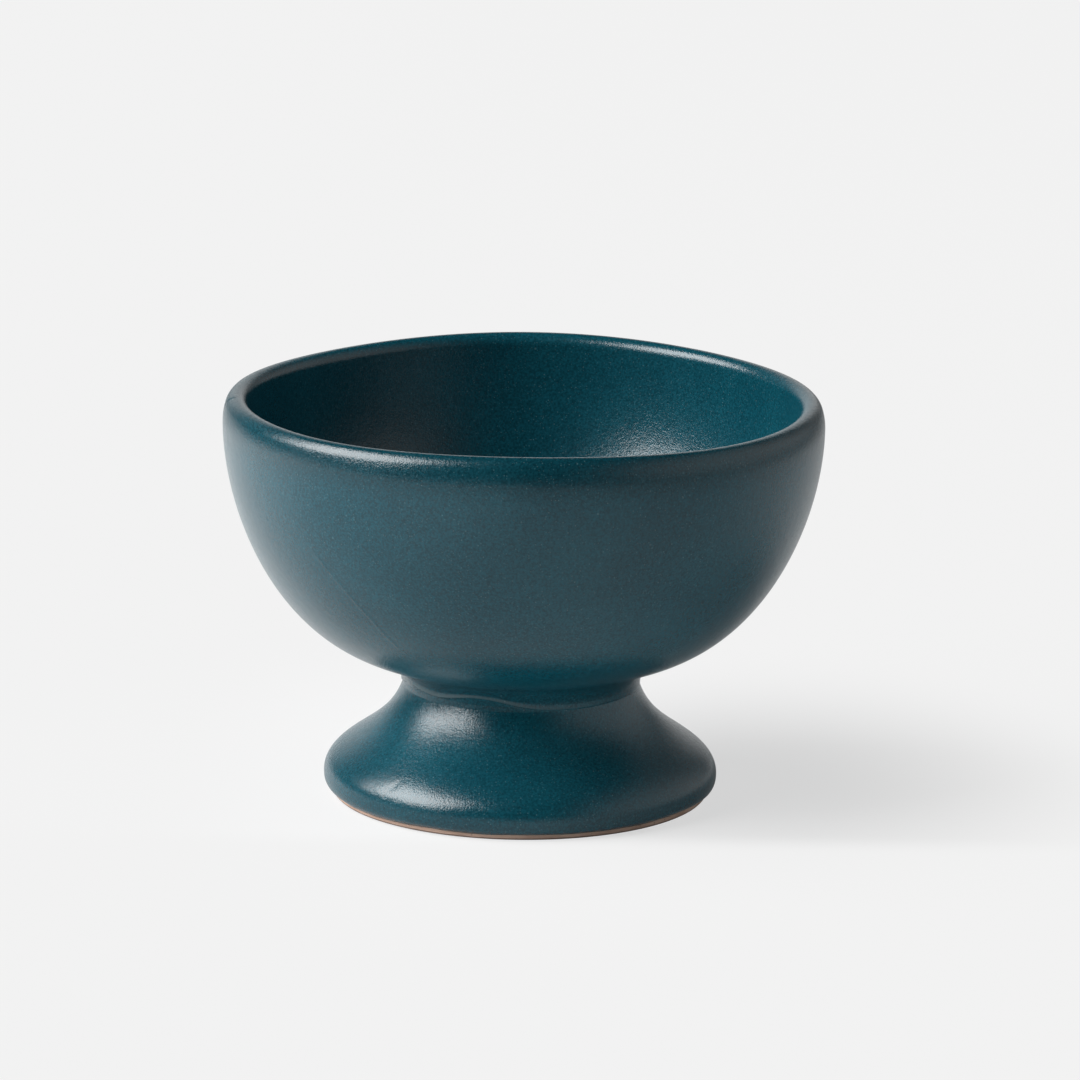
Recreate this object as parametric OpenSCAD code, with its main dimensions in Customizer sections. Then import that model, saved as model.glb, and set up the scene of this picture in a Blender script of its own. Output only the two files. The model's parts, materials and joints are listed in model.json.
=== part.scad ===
// Footed compote bowl in glazed stoneware.
// A thrown bowl and a thrown hollow pedestal are scored, luted together with slip and wiped by hand
// at the neck, then glazed inside and out and left bare on the ring that the piece stands on.
// Millimetres, +Z up, origin at the centre of the standing ring, the photographed front towards -Y.

/* [Overall] */
// Diameter across the bowl at its widest
rim_d = 140; // [125:1:160]
// Height from the standing ring to the top of the lip
total_h = 95; // [85:0.5:110]

/* [Bowl] */
// Height of the hollow sweep from the joint up to the underside
stub_h = 6.6; // [5.5:0.1:9]
// Width of the hollow sweep from the neck out to the underside
sweep_w = 7.1; // [4:0.1:9]
// Slope of the underside as it leaves the sweep, in degrees
underside_slope = 14.65; // [8:0.05:20]
// Pull of the outside curve along the underside
belly_low_share = 0.692; // [0.5:0.001:0.75]
// Pull of the outside curve down from the lip
belly_high_share = 0.362; // [0.3:0.001:0.55]
// Thickness of the floor at its centre, over both glazes
floor_t = 8.4; // [6:0.1:12]
// Pull of the inside curve along the floor
inside_low_share = 0.9; // [0.75:0.01:0.95]
// Pull of the inside curve down from the lip
inside_high_share = 0.5; // [0.4:0.01:0.6]
// Rise of the domed hollow under the floor
dome_h = 4.5; // [2:0.1:6]
// Fullness of the domed hollow
dome_share = 0.55; // [0.4:0.01:0.7]

/* [Lip] */
// Radius of the slow bend from the belly into the lip
lip_bend_r = 13; // [9:0.5:16]
// Turn of the slow bend before the shoulder takes over, in degrees
lip_bend_turn = 18; // [10:1:25]
// Radius of the roll at the lip's outer shoulder
lip_shoulder_r = 4; // [3:0.1:5]
// Turn of the shoulder before it passes into the tighter crest, in degrees
lip_turn = 48; // [40:1:65]
// Radius of the lip's crest
lip_top_r = 2.2; // [1.6:0.1:3]
// Width of the rounding on the inside of the lip
lip_inner_w = 2.5; // [2:0.1:3.5]
// Height of the rounding on the inside of the lip
lip_inner_drop = 2.7; // [2:0.1:6]

/* [Neck joint] */
// Diameter of the neck over its glaze
neck_d = 55.6; // [52:0.1:60]
// Width of the two clay faces that are joined
joint_w = 6.4; // [5:0.1:9]
// Thickness of the slip between the two clay faces
slip_t = 0.7; // [0.4:0.1:1.2]
// Number of rings scored in each clay face
score_n = 3; // [2:1:4]
// Width of a scored ring
score_w = 1.1; // [0.6:0.1:1.3]
// Depth of a scored ring
score_deep = 0.5; // [0.3:0.1:0.8]

/* [Wiped bead] */
// Height of the bead where it lies level
bead_h = 1.6; // [0.8:0.1:2.2]
// How far the bead stands out from the neck
bead_proud = 0.35; // [0.15:0.05:0.6]
// How far the smear under a raised bead stands out from the neck
smear_proud = 0.1; // [0.05:0.05:0.15]
// How far the bead was dragged up the neck at the front
drag_h = 2.6; // [0:0.1:3]
// Direction of the drag round the neck, in degrees
drag_at = 250; // [0:1:359]
// Spread of the drag on the side it started from, in degrees
drag_start_w = 19; // [8:1:30]
// Spread of the drag on the side it trailed off to, in degrees
drag_trail_w = 20; // [8:1:40]
// How far the second drag, at the left, pulled the bead up
lift_h = 2.7; // [0:0.1:3]
// Direction of the second drag round the neck, in degrees
lift_at = 204; // [0:1:359]
// Spread of the second drag, in degrees
lift_w = 19; // [8:1:30]
// Height of the finger ripple all round
ripple_h = 0.12; // [0:0.01:0.3]
// Number of finger ripples all round
ripple_n = 7; // [3:1:12]

/* [Pedestal foot] */
// Height of the pedestal up to its top face
foot_h = 26; // [20:0.1:34]
// Diameter of the foot at its widest
foot_d = 92.3; // [84:0.1:104]
// Height at which the foot is widest
toe_z = 4.5; // [4:0.1:7]
// Lean of the flare as it leaves the neck, in degrees
flare_lean = 18; // [6:0.5:30]
// Pull of the flare down from the neck
flare_high_share = 0.62; // [0.4:0.01:0.75]
// Pull of the flare up from the widest point
flare_low_share = 0.37; // [0.2:0.01:0.5]
// Lean of the toe as it tucks in above the bare clay, in degrees
toe_lean = 40; // [25:1:65]
// Pull of the toe down from the widest point
toe_high_share = 0.85; // [0.5:0.01:0.95]
// Pull of the toe out from the bare clay
toe_low_share = 0.5; // [0.2:0.01:0.8]
// How far the bare standing ring sits in from the foot's widest point
toe_in = 2.15; // [1.2:0.05:4]
// Width of the flat that the foot stands on
ring_w = 5.5; // [4:0.1:7]
// Softened outer edge of the flat
ring_edge = 0.5; // [0.2:0.1:0.8]
// Pull of the hollow's wall down from the joint
hollow_high_share = 0.55; // [0.4:0.01:0.7]
// Pull of the hollow's wall up from the flat
hollow_low_share = 0.35; // [0.2:0.01:0.5]

/* [Glaze] */
// Thickness of the glaze
glaze_t = 0.4; // [0.25:0.05:0.6]
// Height of the glaze line on the outside of the foot
bare_h = 1.4; // [0.8:0.1:1.8]
// Height of the glaze line inside the hollow foot
well_bare_h = 3; // [2:0.1:6]

/* [Hidden] */
$fn = 128;
clay_colour = [0.58, 0.45, 0.38];
glaze_colour = [0.12, 0.29, 0.33];
bead_colour = [0.24, 0.4, 0.44];
// Straight steps in each long curve, in each rounding and round the bead
curve_n = 28;
arc_n = 8;
bead_n = 120;
// How far a cutting shape runs past what it cuts
overrun = 2;

rim_r = rim_d/2;
neck_r = neck_d/2;
foot_r = foot_d/2;
base_r = foot_r - toe_in;
stub_r = neck_r - glaze_t;
joint_in_r = stub_r - joint_w;
joint_z = foot_h;
joint_top_z = joint_z + slip_t;
underside_z = joint_top_z + stub_h;
dome_z = joint_top_z + dome_h;
floor_z = dome_z + floor_t - glaze_t;
well_r = base_r - ring_edge - ring_w;
top_c_z = total_h - lip_top_r;
shoulder_c_z = top_c_z - (lip_shoulder_r - lip_top_r)*sin(lip_turn);
lip_z = shoulder_c_z - (lip_bend_r - lip_shoulder_r)*sin(lip_bend_turn);
shoulder_c_r = rim_r - lip_bend_r + (lip_bend_r - lip_shoulder_r)*cos(lip_bend_turn);
crest_r = shoulder_c_r + (lip_shoulder_r - lip_top_r)*cos(lip_turn);
mouth_r = crest_r - lip_inner_w;
mouth_z = total_h - lip_inner_drop;
score_pitch = (stub_r - joint_in_r)/score_n;
bead_in_r = stub_r - (score_pitch - score_w)/4;
glaze_foot_r = base_r + glaze_t;

// A point on a curve with two handles, and the way the curve runs there
function bez(p, t) = pow(1 - t, 3)*p[0] + 3*t*pow(1 - t, 2)*p[1] + 3*t*t*(1 - t)*p[2] + pow(t, 3)*p[3];
function bez_run(p, t) = pow(1 - t, 2)*(p[1] - p[0]) + 2*t*(1 - t)*(p[2] - p[1]) + t*t*(p[3] - p[2]);
// A quarter turn to the left of a direction
function left(v) = [-v[1], v[0]]/norm(v);
// The curve moved over to its left, as a list of points
function curve(p, over = 0) =
    [for (i = [0:curve_n]) let (t = i/curve_n) bez(p, t) + over*left(bez_run(p, t))];
function back(points) = [for (i = [len(points) - 1:-1:0]) points[i]];
function but_first(points) = [for (i = [1:len(points) - 1]) points[i]];
// A part of an ellipse about a centre, moved over to its left
function arc(c, a, b, start, end, over) = let (way = sign(end - start))
    [for (i = [0:arc_n]) let (g = start + (end - start)*i/arc_n)
        [c[0] + a*cos(g), c[1] + b*sin(g)] + over*left(way*[-a*sin(g), b*cos(g)])];

// The hollow sweep under the bowl: part of an ellipse, upright at the neck, that ends on the
// underside's slope
underside_r = neck_r + sweep_w;
sweep_h = underside_z - joint_z;
sweep_pull = tan(underside_slope)*sweep_w/sweep_h;
sweep_turn = acos(sweep_pull/(1 - sweep_pull));
sweep_a = sweep_w/(1 - cos(sweep_turn));
sweep_b = sweep_h/sin(sweep_turn);
function neck_sweep(sunk) =
    arc([neck_r + sweep_a, joint_z], sweep_a, sweep_b, 180, 180 - sweep_turn, sunk);
// Radius of the sweep over its glaze at a height
function neck_at(z) = neck_r + sweep_a*(1 - sqrt(1 - pow((z - joint_z)/sweep_b, 2)));

// Outlines over the glaze: bowl outside, bowl inside, toe and flare
belly_low = belly_low_share*(rim_r - underside_r);
belly_high = belly_high_share*(lip_z - underside_z);
bowl_out = [
    [underside_r, underside_z],
    [underside_r + belly_low*cos(underside_slope), underside_z + belly_low*sin(underside_slope)],
    [rim_r, lip_z - belly_high],
    [rim_r, lip_z]
];
bowl_in = [
    [0, floor_z],
    [inside_low_share*mouth_r, floor_z],
    [mouth_r, mouth_z - inside_high_share*(mouth_z - floor_z)],
    [mouth_r, mouth_z]
];
toe_tuck = toe_low_share*(foot_r - glaze_foot_r);
toe = [
    [glaze_foot_r, bare_h],
    [glaze_foot_r + toe_tuck*cos(toe_lean), bare_h + toe_tuck*sin(toe_lean)],
    [foot_r, toe_z - toe_high_share*(toe_z - bare_h)],
    [foot_r, toe_z]
];
flare_low = flare_low_share*(joint_z - toe_z);
flare_high = flare_high_share*(joint_z - toe_z);
flare = [
    [foot_r, toe_z],
    [foot_r, toe_z + flare_low],
    [neck_r + flare_high*sin(flare_lean), joint_z - flare_high*cos(flare_lean)],
    [neck_r, joint_z]
];
// Bare clay outlines under the glaze of the hollow: its wall, and the dome under the floor
hollow = [
    [well_r, 0],
    [well_r, hollow_low_share*joint_z],
    [joint_in_r, joint_z - hollow_high_share*joint_z],
    [joint_in_r, joint_z]
];
dome = [
    [joint_in_r, joint_top_z],
    [joint_in_r, joint_top_z + dome_share*(dome_z - joint_top_z)],
    [dome_share*joint_in_r, dome_z],
    [0, dome_z]
];

// The bowl from the neck, over the lip and down to the middle of the floor, sunk below the glaze
function bowl_path(sunk) = concat(
    neck_sweep(sunk),
    but_first(curve(bowl_out, sunk)),
    but_first(arc([rim_r - lip_bend_r, lip_z], lip_bend_r, lip_bend_r, 0, lip_bend_turn, sunk)),
    but_first(arc([shoulder_c_r, shoulder_c_z], lip_shoulder_r, lip_shoulder_r,
        lip_bend_turn, lip_turn, sunk)),
    but_first(arc([crest_r, top_c_z], lip_top_r, lip_top_r, lip_turn, 90, sunk)),
    but_first(arc([crest_r, mouth_z], lip_inner_w, lip_inner_drop, 90, 180, sunk)),
    but_first(back(curve(bowl_in, -sunk))));
// Those of its points that lie above the joint
function above_joint(points) = [for (p = points) if (p[1] > joint_top_z) p];
// The foot from the glaze line to the neck, sunk below the glaze
function foot_path(sunk) = concat(
    curve(toe, sunk),
    but_first(curve(flare, sunk)),
    [[neck_r - sunk/cos(flare_lean), joint_z]]);
// The hollow from the flat to the middle of the dome, raised above the clay
function well_path(raised) = concat(curve(hollow, raised), curve(dome, raised));
// A scored face across the joint, from the hollow to the outside
function scored_face(z, deep) = concat(
    [[joint_in_r, z]],
    [for (k = [0:score_n - 1], s = [-1:1])
        [joint_in_r + (k + 1/2)*score_pitch + s*score_w/2, z + (s == 0 ? deep : 0)]],
    [[stub_r, z]]);

// How far the bead has been dragged up the neck in a direction
function apart(a, b) = ((a - b + 540) % 360) - 180;
function bump(d, w) = exp(-d*d/(w*w));
function drag(a) = let (d = apart(a, drag_at))
    drag_h*bump(d, d > 0 ? drag_start_w : drag_trail_w)
    + lift_h*bump(apart(a, lift_at), lift_w)
    + ripple_h*(1 + sin(ripple_n*a))/2;
// The bead's section in a direction: a thin smear with a rounded crest along its top
function bead_section(a, low) = let (top = joint_z + bead_h + drag(a)) [
    [bead_in_r, low],
    [neck_r, low],
    [neck_at(top - bead_h) + smear_proud, top - bead_h],
    [neck_at(top - bead_h*2/3) + bead_proud, top - bead_h*2/3],
    [neck_at(top - bead_h/3) + bead_proud, top - bead_h/3],
    [neck_at(top) + smear_proud, top],
    [bead_in_r, top]
];

// A ring lofted through the bead's sections
module wiped_bead(low) {
    sections = [for (i = [0:bead_n - 1]) bead_section(360*i/bead_n, low)];
    m = len(sections[0]);
    points = [for (i = [0:bead_n - 1], q = sections[i])
        [q[0]*cos(360*i/bead_n), q[0]*sin(360*i/bead_n), q[1]]];
    faces = [for (i = [0:bead_n - 1], j = [0:m - 1], half = [0, 1])
        let (i2 = (i + 1) % bead_n, j2 = (j + 1) % m)
        half == 0 ? [i*m + j, i*m + j2, i2*m + j2] : [i*m + j, i2*m + j2, i2*m + j]];
    polyhedron(points, faces);
}

module bowl() {
    color(clay_colour)
        rotate_extrude()
            polygon(concat(
                back(curve(dome)),
                but_first(scored_face(joint_top_z, score_deep)),
                above_joint(bowl_path(glaze_t))));
}

module pedestal_foot() {
    color(clay_colour)
        rotate_extrude()
            polygon(concat(
                [[base_r - ring_edge, 0], [base_r, ring_edge]],
                foot_path(glaze_t),
                back(but_first([for (p = scored_face(joint_z, -score_deep)) if (p[0] < stub_r) p])),
                back(curve(hollow))));
}

module slip_joint() {
    color(bead_colour)
        union() {
            rotate_extrude()
                polygon(concat(
                    scored_face(joint_z, -score_deep),
                    back(scored_face(joint_top_z, score_deep))));
            difference() {
                wiped_bead(joint_z);
                rotate_extrude()
                    polygon(concat(
                        [[0, joint_z + slip_t/2], [stub_r, joint_z + slip_t/2], [stub_r, joint_top_z]],
                        above_joint(neck_sweep(glaze_t)),
                        [[0, underside_z]]));
            }
        }
}

module bowl_glaze() {
    color(glaze_colour)
        difference() {
            rotate_extrude()
                polygon(concat(bowl_path(0), back(bowl_path(glaze_t))));
            wiped_bead(joint_z - overrun);
        }
}

module foot_glaze() {
    color(glaze_colour)
        rotate_extrude()
            polygon(concat(foot_path(0), back(foot_path(glaze_t))));
}

module well_glaze() {
    color(glaze_colour)
        difference() {
            rotate_extrude()
                polygon(concat(well_path(0), back(well_path(glaze_t))));
            translate([0, 0, -overrun])
                cylinder(r = base_r, h = well_bare_h + overrun);
        }
}

bowl();
pedestal_foot();
slip_joint();
bowl_glaze();
foot_glaze();
well_glaze();
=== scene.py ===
# %% [markdown]
# # A footed compote bowl in satin glaze
# The real piece is two thrown shapes in stoneware, a bowl and a hollow foot, stuck together at the
# neck with wet clay and dipped in one dark glaze. Nothing on it is straight or flat except the ring
# it stands on, so nearly all of it can be made by turning outlines round one axis. What makes it look
# made by hand is small: a wavy joint, an uneven glaze line, a nick in the lip, a grainy satin shine.
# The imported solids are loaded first, because every piece below has to sit where they are.

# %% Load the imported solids
import json
import math

import bmesh
import bpy
import numpy as np
from mathutils import Matrix, Vector

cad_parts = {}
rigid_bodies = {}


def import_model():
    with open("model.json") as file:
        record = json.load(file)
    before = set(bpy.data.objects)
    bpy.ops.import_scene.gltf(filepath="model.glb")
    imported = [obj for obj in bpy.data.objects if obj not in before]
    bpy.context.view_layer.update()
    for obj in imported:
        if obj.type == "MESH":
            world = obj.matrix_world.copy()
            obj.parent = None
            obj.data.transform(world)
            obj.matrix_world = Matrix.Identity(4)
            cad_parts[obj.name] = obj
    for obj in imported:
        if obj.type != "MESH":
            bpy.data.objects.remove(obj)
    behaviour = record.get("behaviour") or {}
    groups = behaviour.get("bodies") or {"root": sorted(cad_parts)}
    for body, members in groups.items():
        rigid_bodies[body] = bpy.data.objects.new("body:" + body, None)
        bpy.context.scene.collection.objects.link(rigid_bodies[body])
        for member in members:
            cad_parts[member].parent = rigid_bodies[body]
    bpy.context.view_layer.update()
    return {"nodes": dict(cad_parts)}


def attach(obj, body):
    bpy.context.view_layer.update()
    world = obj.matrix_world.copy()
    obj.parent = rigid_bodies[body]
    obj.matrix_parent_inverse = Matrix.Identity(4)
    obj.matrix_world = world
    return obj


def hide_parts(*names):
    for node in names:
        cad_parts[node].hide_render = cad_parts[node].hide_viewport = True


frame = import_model()
MM = 0.001
print("solids:", ", ".join(sorted(frame["nodes"])))

# %% [markdown]
# ## The camera
# A long lens from a low height shows a bowl with hardly any perspective: the rim is a flat ellipse and
# the belly keeps its outline. The numbers come from laying the turned outline over the photograph
# until its edge matched. The object sits low and left of the middle of the frame, and that is done
# with the lens shift, so that the viewing direction stays the one that was fitted.

# %% A helper that puts something into the scene
def show(name, data):
    """An object for a mesh, lamp or lens, put into the scene."""
    made = bpy.data.objects.new(name, data)
    bpy.context.scene.collection.objects.link(made)
    return made


# %% Place the camera
FRAME_PX = 1080
SENSOR_MM = 36
FOCAL_PX = 7267.4
DISTANCE = 1.7
FARTHEST = 50
LOOK_AT = Vector((0, 0, 0.047))
LOOK_AT_PX = (522.04, 594.79)
ELEVATION = math.radians(14.31)
ROLL = math.radians(0.65)

forward = Vector((0, math.cos(ELEVATION), -math.sin(ELEVATION)))
level = Vector((1, 0, 0))
upward = level.cross(forward)
right = level * math.cos(ROLL) + upward * math.sin(ROLL)
up = upward * math.cos(ROLL) - level * math.sin(ROLL)

lens = bpy.data.cameras.new("long_lens")
lens.sensor_width = SENSOR_MM
lens.lens = FOCAL_PX / FRAME_PX * SENSOR_MM
lens.shift_x = (FRAME_PX / 2 - LOOK_AT_PX[0]) / FRAME_PX
lens.shift_y = (LOOK_AT_PX[1] - FRAME_PX / 2) / FRAME_PX
lens.clip_end = FARTHEST
camera = show("camera", lens)
camera.matrix_world = Matrix.Translation(LOOK_AT - DISTANCE * forward) @ Matrix(
    (right, up, -forward)).transposed().to_4x4()
bpy.context.scene.camera = camera
bpy.context.scene.view_settings.view_transform = "Standard"
print("lens", round(lens.lens, 1), "mm, shift", round(lens.shift_x, 4), round(lens.shift_y, 4))

# %% [markdown]
# ## The table
# The bowl stands on a white table. Its belly mirrors the table, and its shadow lies on it at the right.
# A plain white floor would do, but a lamp that suits the dark glaze leaves such a floor grey. So the
# table's white is partly its own light, and only for rays that look at it or mirror it: the background
# is as pale as in the photograph, and the bowl gets no more light than a plain lamp gives. The rest is
# paint, which can carry a shadow. There is most of it right of the foot and behind it, and hardly any
# in front, where the photograph's table is clean white. A few helpers keep the node code short.

# %% Helpers that add nodes
def start_tree(owner):
    """The emptied node tree of a material or a world."""
    owner.use_nodes = True
    owner.node_tree.nodes.clear()
    return owner.node_tree


def put(tree, kind, inputs=None, **options):
    """Adds a node, sets its options and fills its inputs: a socket is linked, a value is set."""
    made = tree.nodes.new(kind)
    for option, value in options.items():
        setattr(made, option, value)
    for name, value in (inputs or {}).items():
        if isinstance(value, bpy.types.NodeSocket):
            tree.links.new(value, made.inputs[name])
        else:
            made.inputs[name].default_value = value
    return made


def math_of(tree, operation, *values):
    """A Math node on one, two or three values, and its result."""
    return put(tree, "ShaderNodeMath", dict(enumerate(values)), operation=operation).outputs[0]


def times(tree, *values):
    """The product of several values."""
    product = values[0]
    for value in values[1:]:
        product = math_of(tree, "MULTIPLY", product, value)
    return product


# %% Helpers for soft steps and distances
def fade(tree, value, start, end, low=0.0, high=1.0):
    """A soft step of a value from low at start to high at end."""
    made = put(tree, "ShaderNodeMapRange", {
        "Value": value, "From Min": start, "From Max": end, "To Min": low, "To Max": high},
        interpolation_type="SMOOTHSTEP")
    return made.outputs["Result"]


def from_axis(tree, at):
    """Distance from the upright axis, by the X and Y of a place."""
    return math_of(tree, "SQRT", math_of(
        tree, "MULTIPLY_ADD", at["X"], at["X"], math_of(tree, "MULTIPLY", at["Y"], at["Y"])))


# %% The table's top
TABLE_HALF = 6.0
TABLE_Z = -0.0001
TABLE_SQUARES = 8

shape = bmesh.new()
bmesh.ops.create_grid(shape, x_segments=TABLE_SQUARES, y_segments=TABLE_SQUARES, size=TABLE_HALF)
bmesh.ops.translate(shape, verts=shape.verts, vec=(0, 0, TABLE_Z))
table_mesh = bpy.data.meshes.new("table")
shape.to_mesh(table_mesh)
shape.free()
table = show("table", table_mesh)
print("table", 2 * TABLE_HALF, "m wide")

# %% What the camera sees of the table
SEEN_WHITE = 0.887
LAMP_ON_TABLE = 0.9
PAINT_NEAR, PAINT_FAR = 0.30, 0.02
NEAR_R, FAR_R = 0.06, 0.16
FRONT_Y, SHADED_Y = -0.052, -0.036
LIT_X, SHADED_X = -0.09, -0.02
LIT_SHARE = 0.15

white = bpy.data.materials.new("white_table")
tree = start_tree(white)
path = put(tree, "ShaderNodeLightPath").outputs
side = put(tree, "ShaderNodeNewGeometry").outputs
at = put(tree, "ShaderNodeSeparateXYZ", {0: side["Position"]}).outputs
paint_seen = times(
    tree, fade(tree, from_axis(tree, at), NEAR_R, FAR_R, PAINT_NEAR, PAINT_FAR),
    fade(tree, at["Y"], FRONT_Y, SHADED_Y, LIT_SHARE, 1),
    fade(tree, at["X"], LIT_X, SHADED_X, LIT_SHARE, 1))
glow_seen = math_of(tree, "MULTIPLY_ADD", paint_seen, -LAMP_ON_TABLE, SEEN_WHITE)
print("paint that carries the shadow:", PAINT_NEAR, "by the foot,", PAINT_FAR, "far from it")

# %% What the glaze mirrors of the table
# The mirrored table is a painted pool of light: brightest at the left by the softbox, darker at the
# right in the bowl's shadow, and darker in front of the foot and far in front and behind.
MIRRORED_LEFT, MIRRORED_RIGHT = 0.9, 0.63
LEFT_X, RIGHT_X = -0.13, 0.0
FAR_FRONT_Y, NEAR_FRONT_Y, FAR_FRONT_SHARE = -0.9, -0.26, 0.12
BEFORE_FOOT_Y, BESIDE_FOOT_Y, BEFORE_FOOT_SHARE = -0.1, 0.05, 0.71
NEAR_BACK_Y, FAR_BACK_Y, FAR_BACK_SHARE = 0.25, 0.7, 0.6
GLOW_MIRRORED = 0.1

mirror = math_of(tree, "MAXIMUM", path["Is Glossy Ray"], path["Is Transmission Ray"])
mirrored_light_pool = times(
    tree, fade(tree, at["Y"], FAR_FRONT_Y, NEAR_FRONT_Y, FAR_FRONT_SHARE, 1),
    fade(tree, at["Y"], NEAR_BACK_Y, FAR_BACK_Y, 1, FAR_BACK_SHARE),
    fade(tree, at["Y"], BEFORE_FOOT_Y, BESIDE_FOOT_Y, BEFORE_FOOT_SHARE, 1))
paint_mirrored = times(
    tree, mirrored_light_pool, fade(tree, at["X"], LEFT_X, RIGHT_X, MIRRORED_LEFT, MIRRORED_RIGHT))
glow_mirrored = times(tree, mirrored_light_pool, GLOW_MIRRORED)
print("mirrored white:", MIRRORED_LEFT, "at the left,", MIRRORED_RIGHT, "at the right")

# %% Put the table's looks together
PAINT = (0.85, 0.85, 0.85, 1)


def matt(colour):
    """A matt shader for the table."""
    return put(tree, "ShaderNodeBsdfDiffuse", {"Color": colour}).outputs[0]


glow = put(tree, "ShaderNodeEmission", {"Strength": math_of(
    tree, "MULTIPLY_ADD", path["Is Camera Ray"], glow_seen, times(tree, mirror, glow_mirrored))})
unseen = put(tree, "ShaderNodeMixShader", {0: mirror, 1: matt(PAINT), 2: matt(paint_mirrored)})
paint = put(tree, "ShaderNodeMixShader", {
    0: path["Is Camera Ray"], 1: unseen.outputs[0], 2: matt(paint_seen)})
top = put(tree, "ShaderNodeAddShader", {0: paint.outputs[0], 1: glow.outputs[0]})
clear = put(tree, "ShaderNodeBsdfTransparent")
whole = put(tree, "ShaderNodeMixShader", {
    0: side["Backfacing"], 1: top.outputs[0], 2: clear.outputs[0]})
put(tree, "ShaderNodeOutputMaterial", {"Surface": whole.outputs[0]})
table_mesh.materials.append(white)
print("white_table:", len(tree.nodes), "nodes, clear from below so that the foot can be looked at")

# %% [markdown]
# ## The lamp and the room
# One large softbox on the left draws the bright patches on the foot and the lip. Its place was found
# from where those patches lie: each is a mirror, so its tilt tells where the light came from. The room
# is what else the glaze mirrors. It is pale at the right and low at the back, and dark in front and
# above, which, with painted shade on the lip, gives the dark band just under the lip. A world that
# changes with the direction does this without any walls.

# %% The softbox
SOFTBOX_AZIMUTH = math.radians(-78.5)
SOFTBOX_ELEVATION = math.radians(38)
SOFTBOX_AWAY = 2.0
SOFTBOX_SIZE = (1.8, 1.3)
SOFTBOX_WATTS = 71

softbox = bpy.data.lights.new("softbox", "AREA")
softbox.shape = "RECTANGLE"
softbox.size, softbox.size_y = SOFTBOX_SIZE
softbox.energy = SOFTBOX_WATTS
softbox_stand = show("softbox", softbox)
towards = Vector((math.sin(SOFTBOX_AZIMUTH) * math.cos(SOFTBOX_ELEVATION),
                  -math.cos(SOFTBOX_AZIMUTH) * math.cos(SOFTBOX_ELEVATION),
                  math.sin(SOFTBOX_ELEVATION)))
softbox_stand.location = LOOK_AT + SOFTBOX_AWAY * towards
softbox_stand.rotation_euler = towards.to_track_quat("Z", "Y").to_euler()
softbox_stand.visible_camera = False
print("softbox at", [round(c, 2) for c in softbox_stand.location])

# %% The room
RIGHT_WALL, RIGHT_WALL_X = 0.75, (0.3, 0.95)
BACK_WALL, BACK_WALL_Y, BACK_WALL_Z = 1.0, (0.55, 0.9), (0.3, 0.6)
RIGHT_CORNER, RIGHT_CORNER_X = 0.03, (0.15, 0.5)
LEFT_CORNER, LEFT_CORNER_X = 0.3, (-0.6, -0.25)
DARK = 0.004

room = bpy.data.worlds.new("room")
bpy.context.scene.world = room
tree = start_tree(room)
way = put(tree, "ShaderNodeSeparateXYZ", {
    0: put(tree, "ShaderNodeTexCoord").outputs["Generated"]}).outputs
right_wall = times(tree, fade(tree, way["X"], *RIGHT_WALL_X), RIGHT_WALL)
back_wall = times(
    tree, fade(tree, way["Y"], *BACK_WALL_Y), fade(tree, way["Z"], *BACK_WALL_Z, BACK_WALL, 0),
    fade(tree, way["X"], *RIGHT_CORNER_X, 1, RIGHT_CORNER),
    fade(tree, way["X"], *LEFT_CORNER_X, LEFT_CORNER, 1))
walls = math_of(tree, "ADD", math_of(tree, "ADD", right_wall, back_wall), DARK)
sky = put(tree, "ShaderNodeBackground", {"Strength": walls})
put(tree, "ShaderNodeOutputWorld", {"Surface": sky.outputs[0]})
print("room: right wall", RIGHT_WALL, "back wall", BACK_WALL, "and dark in front and above")

# %% [markdown]
# ## The potter's hand
# A thrown rim is never quite round or level. This one stands about 0.7 mm high at the front and 0.4 mm
# at the back, and dips by up to 0.8 mm between them. A few slow waves round the axis, growing towards
# the rim, move clay and glaze together. They are added to every turned point, so that the pieces stay
# in contact; a wave counted as 0 is the same all round.

# %% The waves of the rim
RIM_R, TOTAL_H = 70.0, 95.0
WAVES_FROM_Z = 40
RIM_WAVES = ((2, 0.12, 35), (3, 0.07, 160), (5, 0.05, 80))
RIM_LIFTS = ((0, -0.17, 0), (1, 0.34, 211), (2, 0.46, 80), (3, 0.09, 305), (4, 0.27, 2))


def waves(angle, parts):
    """A sum of waves round the axis: how many, how high in mm, and where each is highest."""
    return sum(high * np.cos(n * (angle - np.radians(at))) for n, high, at in parts)


def by_hand(points):
    """The points after the potter's hand has pushed them, in mm."""
    angle = np.arctan2(points[:, 1], points[:, 0])
    height = np.clip((points[:, 2] - WAVES_FROM_Z) / (TOTAL_H - WAVES_FROM_Z), 0, 1)
    out = 1 + height**2 * waves(angle, RIM_WAVES) / RIM_R
    lift = height**2 * waves(angle, RIM_LIFTS)
    return np.c_[points[:, 0] * out, points[:, 1] * out, points[:, 2] + lift]


lifts = waves(np.radians(np.arange(0, 360, 5)), RIM_LIFTS)
print("rim lies between", round(float(lifts.min()), 2), "and", round(float(lifts.max()), 2),
      "mm from level")

# %% [markdown]
# ## Turning an outline
# A pot is made on a wheel, and its model can be made the same way: draw half of its section and turn
# it. Blender's Screw modifier does that for one fixed outline. Here the outline changes a little on
# the way round, at the joint and at the glaze line, so a small function asks for the outline at
# each angle and joins neighbouring outlines with faces. An outline's points are in millimetres, as
# (radius, height).

# %% Curves for the outlines
def step(start, length, slope):
    """The point a length away from a start, in a direction in degrees from level."""
    g = math.radians(slope)
    return start[0] + length * math.cos(g), start[1] + length * math.sin(g)


def bend(start, first, second, end, steps):
    """Points along a curve with two handles."""
    t = np.linspace(0, 1, steps + 1)[:, None]
    p = [np.array(q, float) for q in (start, first, second, end)]
    return (1 - t)**3 * p[0] + 3 * t * (1 - t)**2 * p[1] + 3 * t * t * (1 - t) * p[2] + t**3 * p[3]


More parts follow.
